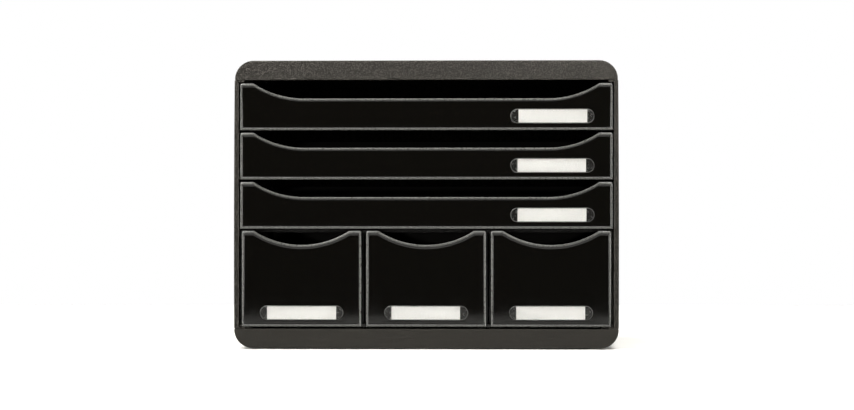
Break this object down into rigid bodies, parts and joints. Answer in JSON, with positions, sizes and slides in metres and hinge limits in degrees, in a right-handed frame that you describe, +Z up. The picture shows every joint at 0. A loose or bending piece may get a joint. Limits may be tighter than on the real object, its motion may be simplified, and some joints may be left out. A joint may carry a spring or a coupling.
{
  "type": "drawer unit",
  "caption": "Desktop drawer unit of black moulded plastic: wide flat paper drawers over a row of deep small ones, with scooped fronts and clear label holders.",
  "frame": {"origin": "on the table, under the middle of the unit", "axes": "+X to the right seen from the front, along the unit's width; the drawer fronts face -Y; +Z up"},
  "size_m": [0.355, 0.27, 0.2662],
  "materials": {
    "casing_plastic": "finely grained black moulded plastic",
    "drawer_plastic": "polished black moulded plastic",
    "label_window": "clear moulded plastic",
    "label_card": "plain white card",
    "foot_rubber": "dull soft rubber"
  },
  "bodies": {
    "casing": {"top_cover": "casing_plastic", "base": "casing_plastic", "left_side_panel": "casing_plastic", "right_side_panel": "casing_plastic", "back_panel": "casing_plastic", "middle_shelf": "casing_plastic", "left_partition": "casing_plastic", "right_partition": "casing_plastic", "front_left_foot": "foot_rubber", "front_right_foot": "foot_rubber", "rear_left_foot": "foot_rubber", "rear_right_foot": "foot_rubber"},
    "top_wide": {"top_wide_drawer": "drawer_plastic", "top_wide_label_card": "label_card", "top_wide_label_window": "label_window"},
    "middle_wide": {"middle_wide_drawer": "drawer_plastic", "middle_wide_label_card": "label_card", "middle_wide_label_window": "label_window"},
    "bottom_wide": {"bottom_wide_drawer": "drawer_plastic", "bottom_wide_label_card": "label_card", "bottom_wide_label_window": "label_window"},
    "left_small": {"left_small_drawer": "drawer_plastic", "left_small_label_card": "label_card", "left_small_label_window": "label_window"},
    "centre_small": {"centre_small_drawer": "drawer_plastic", "centre_small_label_card": "label_card", "centre_small_label_window": "label_window"},
    "right_small": {"right_small_drawer": "drawer_plastic", "right_small_label_card": "label_card", "right_small_label_window": "label_window"}
  },
  "joints": [
    {"name": "top_wide_slide", "type": "slide", "parent": "casing", "child": "top_wide", "axis": [0, -1, 0], "range_m": [0, 0.19]},
    {"name": "middle_wide_slide", "type": "slide", "parent": "casing", "child": "middle_wide", "axis": [0, -1, 0], "range_m": [0, 0.19]},
    {"name": "bottom_wide_slide", "type": "slide", "parent": "casing", "child": "bottom_wide", "axis": [0, -1, 0], "range_m": [0, 0.19]},
    {"name": "left_small_slide", "type": "slide", "parent": "casing", "child": "left_small", "axis": [0, -1, 0], "range_m": [0, 0.19]},
    {"name": "centre_small_slide", "type": "slide", "parent": "casing", "child": "centre_small", "axis": [0, -1, 0], "range_m": [0, 0.19]},
    {"name": "right_small_slide", "type": "slide", "parent": "casing", "child": "right_small", "axis": [0, -1, 0], "range_m": [0, 0.19]}
  ]
}
